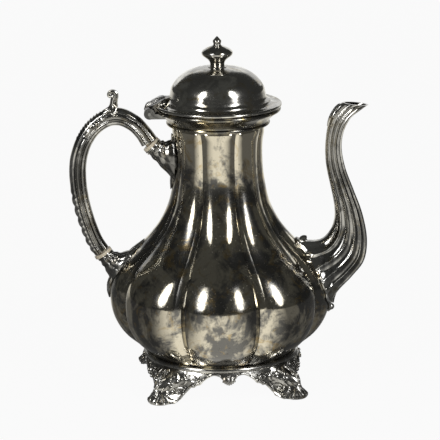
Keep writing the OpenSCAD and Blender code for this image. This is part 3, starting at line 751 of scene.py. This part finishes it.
def make_feet():
    shell = Casting()
    angles = np.concatenate([np.linspace(-45, -12, 45)[:-1], np.linspace(-12, 12, 41),
                             np.linspace(12, 45, 45)[1:]])
    low = smooth(EDGE, np.abs(angles))
    steps = np.linspace(0, 1, 16)
    front = [skirt(angles, RING_LOW + (low - RING_LOW) * s) for s in steps]
    back = []
    for s in steps[::-1]:
        p = skirt(angles, RING_LOW + (low - RING_LOW) * s)
        r = np.hypot(p[:, 0], p[:, 1])
        thick = np.where(np.abs(angles) < 11, np.maximum(r - 62.5, 2), 2.0)
        p[:, :2] *= ((r - thick) / r)[:, None]
        back.append(p)
    rings = np.array(front + back)
    rows, cols = rings.shape[:2]
    faces = grid_faces(rows, cols, wrap_rows=True, wrap_cols=False)
    faces += [[r * cols for r in range(rows)], [r * cols + cols - 1 for r in range(rows)]]
    shell.add(rings.reshape(-1, 3), faces)
    # rolled edge
    edge = np.linspace(-44.8, 44.8, 160)
    edge = edge[np.abs(edge) > 8.5]
    for part in (edge[edge < 0], edge[edge > 0]):
        z = smooth(EDGE, np.abs(part)) + 0.5
        shell.tube(skirt(part, z, 0.1), 0.85 + 0.3 * np.sin(part * 2.6) ** 2, 8)
    for side in (-1, 1):
        def lay(points, radii):
            """A curved bar laid on the skirt through (angle, height) points."""
            path = curve(points, 8)
            sizes = 0.85 * np.interp(np.linspace(0, len(radii) - 1, len(path)), range(len(radii)), radii)
            shell.tube(skirt(side * path[:, 0], path[:, 1], 0.25), sizes, 8)

        # volute on the flank of the foot, with a bead in its eye
        a = np.linspace(0, 1.9 * TAU, 60)
        size = 5.6 * (1 - a / (2.15 * TAU))
        turn = a + 2.2
        volute = np.stack([9.3 + size * np.cos(turn) * 0.8, 8.0 + size * np.sin(turn)], 1)
        shell.tube(skirt(side * volute[:, 0], np.maximum(volute[:, 1], 0.8), 0.4),
                   1.05 - 0.008 * np.arange(60), 8)
        shell.bead(skirt(side * 9.3, 8.0, 1.0), 1.4)
        # scrolls from the ring down the leg
        lay([(3.2, 22.2), (4.6, 18.6), (5.2, 15), (3.8, 12.2), (2.4, 9)], [0.7, 1.2, 1.3, 1.1, 0.6])
        lay([(7, 22), (8.6, 19.4), (9.2, 16.4), (8.2, 14.4), (6.6, 14.8), (6.4, 16.4)],
            [0.6, 1.1, 1.2, 1.1, 0.9, 0.6])
        lay([(11.5, 21.4), (13.6, 19), (14, 16), (12.4, 13.6), (10.6, 13.4)], [0.6, 1.0, 1.3, 1.1, 0.6])
        lay([(16.5, 21.2), (19.6, 20.6), (21.6, 18.6), (20.6, 16.6), (18.4, 16.6), (17.9, 18.2),
             (19.2, 18.8)], [0.5, 0.9, 1.1, 1.1, 1.0, 0.8, 0.6])
        lay([(24.2, 20.8), (22.8, 18), (20.6, 15.2), (17.4, 12.6), (14.8, 10)], [0.5, 0.9, 1.2, 1.1, 0.6])
        lay([(25.6, 21.6), (29, 21.9), (33, 22.4)], [0.6, 0.8, 0.4])
        for angle, z, size in ((19.4, 13.2, 1.5), (22.6, 15.0, 1.4), (24.8, 16.6, 1.2), (16.2, 20, 1.0),
                               (11.2, 17.6, 1.0), (6.2, 19.4, 0.9), (12.6, 9.6, 1.0), (13.6, 11.4, 0.9)):
            shell.bead(skirt(side * angle, z, 0.5), size)
        # ribs of the toe leaf
        for spread, reach in ((0.8, 82.2), (3.0, 81.2), (5.2, 79), (7.2, 76)):
            s = np.linspace(0, 1, 10)
            a = np.radians(side * (2.0 + (spread + 0.4 - 2.0) * s))
            r = 74.5 + (reach - 74.5) * s
            z = 6.4 * (1 - s) ** 1.4 + 1.5
            shell.tube(np.stack([r * np.cos(a), r * np.sin(a), z], 1),
                       1.5 * np.sin(np.linspace(0.5, 2.5, 10)), 8)
    # spine of the foot
    z = np.linspace(22.6, 6, 24)
    shell.tube(skirt(np.zeros(24), z, 0.1), 1.1 + 0.35 * np.sin(z * 1.5), 8)
    # toe pad
    a = np.linspace(0, TAU, 40, endpoint=False)
    shell.skin([np.stack([73 + r * np.cos(a), r * np.sin(a), np.full(40, z)], 1)
                for r, z in ((8.4, 0), (8.7, 0.8), (8.0, 2))])
    feet = (("front_right", 315, "apron_right"), ("back_right", 45, "apron_back"),
            ("back_left", 135, "apron_left"), ("front_left", 225, "apron_front"))
    for name, turn, apron in feet:
        obj = shell.turned(turn + FOOT_TURN).mesh("foot_casting_" + name, 40)
        finish_piece(obj, CAST_SILVER, "cast_silver", "pot", "foot_" + name, apron)
    # shell pendant where two castings meet
    drop = Casting()
    for k in range(-3, 4):
        s = np.linspace(0, 1, 8)
        reach = 6.2 - 0.42 * abs(k) ** 1.5
        angle = 45 + k * (0.9 + 0.5 * s)
        drop.tube(skirt(angle, 20.5 - reach * s, 0.35), 0.95 * np.sin(np.linspace(0.7, 2.5, 8)), 8)
    drop.bead(skirt(45, 20.8, 0.9), 1.3)
    for name, turn in (("front", 225), ("right", 315), ("back", 45), ("left", 135)):
        obj = drop.turned(turn + FOOT_TURN).mesh("apron_shell_" + name, 40)
        finish_piece(obj, CAST_SILVER, "cast_silver", "pot")


def make_foot_ring():
    outline = np.concatenate([[(50, 22.7), (58.2, 22.7)], arc(57.6, 24.4, 2.2, 2.3, -50, 50, 9),
                              [(57.1, 26.6), (57.1, 25.2), (50, 25.2)]])
    finish_piece(lathe("foot_ring_bead", outline), CAST_SILVER, "cast_silver", "pot", "foot_ring")


make_feet()
make_foot_ring()


# ---- Hinge leaf -----------------------------------------------------------------------
def make_hinge_ribs():
    """Scalloped ribs over the cast leaf of the lid hinge."""
    work = Casting()
    spine = [(-55.2, 214), (-54, 217), (-51.3, 218.9), (-47.6, 220.5), (-44.2, 222.3), (-40, 223.5)]
    path = curve(spine, 5)
    s = np.linspace(0, 1, len(path))
    for k in (-2, -1, 0, 1, 2):
        y = k * (2.0 + 0.6 * np.sin(s * math.pi))
        drop = 0.28 * abs(k) ** 1.7 * np.ones(len(path))
        work.tube(np.stack([path[:, 0] + 0.4 * abs(k), y, path[:, 1] - drop], 1),
                  (1.45 - 0.1 * abs(k)) * np.sin(np.linspace(0.5, 2.5, len(path))) ** 0.7, 10)
    for side in (-1, 1):
        work.tube([(-50.5, side * 5.6, 218.2), (-46.5, side * 10.2, 219.2), (-43, side * 11.2, 219.8),
                   (-39.8, side * 8.6, 221.4)], [1.2, 1.5, 1.5, 0.8], 10)
        work.bead((-46.2, side * 7.2, 219.9), 2.0)
    finish_piece(work.mesh("hinge_leaf_ribs", 40), CAST_SILVER, "cast_silver", "lid")


make_hinge_ribs()

# ---- Nodes kept from the CAD model ------------------------------------------------
slots = {part["node"]: part["material_slot"] for part in frame["record"]["subparts"]}
for node, obj in frame["nodes"].items():
    obj.data.materials.clear()
    obj.data.materials.append(MATERIALS[slots[node]])
    for polygon in obj.data.polygons:
        polygon.material_index = 0
# painted shade: the barrel and leaf of the hinge get a far darker silver, so they read black instead of
# mirroring the pale floor
for node in ("hinge_bracket", "lid_hinge_leaf"):
    frame["nodes"][node].data.materials[0] = HINGE_SHADED_SILVER

# ---- Stage ------------------------------------------------------------------------
def make_stage():
    """A pale floor and backdrop for the camera. What the metal mirrors is a dim room
    with a floor that is pale in front of the pot and behind it."""
    bpy.ops.mesh.primitive_plane_add(size=40, location=(0, 0, -0.0004))
    floor = bpy.context.object
    floor.name = "floor"
    n = Nodes("floor")
    place = n.place()
    x, y = place["X"], place["Y"]
    away = n.math("SQRT", n.math("ADD", n.math("MULTIPLY", x, x), n.math("MULTIPLY", y, y)))
    front = n.fade(n.math("DIVIDE", n.math("ABSOLUTE", y), away), 0.62, 0.95)
    tone = n.ramp(n.noise(3, detail=2), [(0.4, (0.92, 0.90, 0.84)), (0.6, (0.97, 0.95, 0.89))])
    n.tree.nodes.remove(n.shader)
    mirrored = n.add("ShaderNodeEmission",
                     {"Color": n.mix(front, (0.12, 0.12, 0.118, 1), tone), "Strength": 0.95})
    pale = n.add("ShaderNodeBsdfDiffuse", {"Color": (0.5, 0.5, 0.5, 1)})
    glow = n.add("ShaderNodeEmission", {"Color": (1, 1, 1, 1), "Strength": 0.98})
    shown = n.add("ShaderNodeMixShader", {"Fac": 0.965, 1: pale.outputs[0], 2: glow.outputs[0]})
    seen = n.add("ShaderNodeLightPath").outputs["Is Camera Ray"]
    both = n.add("ShaderNodeMixShader", {"Fac": seen, 1: mirrored.outputs[0], 2: shown.outputs[0]})
    n.tree.links.new(both.outputs[0], n.tree.nodes["Material Output"].inputs["Surface"])
    floor.data.materials.append(n.material)
    world = bpy.data.worlds.new("studio")
    bpy.context.scene.world = world
    world.use_nodes = True
    tree = world.node_tree
    path = tree.nodes.new("ShaderNodeLightPath")
    pick = tree.nodes.new("ShaderNodeMix")
    pick.data_type = "RGBA"
    pick.inputs[6].default_value = (0.05, 0.051, 0.049, 1)
    pick.inputs[7].default_value = (0.957, 0.957, 0.957, 1)
    tree.links.new(path.outputs["Is Camera Ray"], pick.inputs["Factor"])
    tree.links.new(pick.outputs[2], tree.nodes["Background"].inputs["Color"])


def softbox(name, azimuth, elevation, distance, width, height, power):
    """A soft panel of light. Azimuth 0 is the camera's side, positive to the spout."""
    data = bpy.data.lights.new(name, "AREA")
    data.shape = "ELLIPSE"
    data.size, data.size_y = width, height
    data.energy = power
    light = bpy.data.objects.new(name, data)
    bpy.context.collection.objects.link(light)
    a, e = math.radians(azimuth), math.radians(elevation)
    way = Vector((math.sin(a) * math.cos(e), -math.cos(a) * math.cos(e), math.sin(e)))
    light.location = Vector((0, 0, 0.13)) + way * distance
    light.rotation_mode = "QUATERNION"
    light.rotation_quaternion = way.to_track_quat("Z", "Y")
    light.visible_camera = False


make_stage()
for side, azimuth in (("left", -41), ("right", 42)):
    softbox("softbox_" + side, azimuth, 30, 1.6, 0.25, 1.0, 7)
    softbox("softbox_halo_" + side, azimuth, 30, 1.62, 0.5, 1.35, 4)
softbox("back_panel", 180, 17, 2.4, 3.4, 1.4, 9)

CAMERA_PLACE = (0.0005, -1.7977, 0.5961)
CAMERA_DOWN, CAMERA_ROLL = 14.62, -0.013  # degrees, radians
camera = bpy.data.objects.new("camera", bpy.data.cameras.new("camera"))
bpy.context.collection.objects.link(camera)
camera.data.sensor_width = 36
camera.data.lens = 198.4
camera.data.clip_end = 100
camera.rotation_mode = "QUATERNION"
tilt = Matrix.Rotation(math.radians(90 - CAMERA_DOWN), 4, "X") @ Matrix.Rotation(CAMERA_ROLL, 4, "Z")
camera.matrix_world = Matrix.Translation(CAMERA_PLACE) @ tilt
bpy.context.scene.camera = camera
bpy.context.scene.view_settings.view_transform = "Standard"
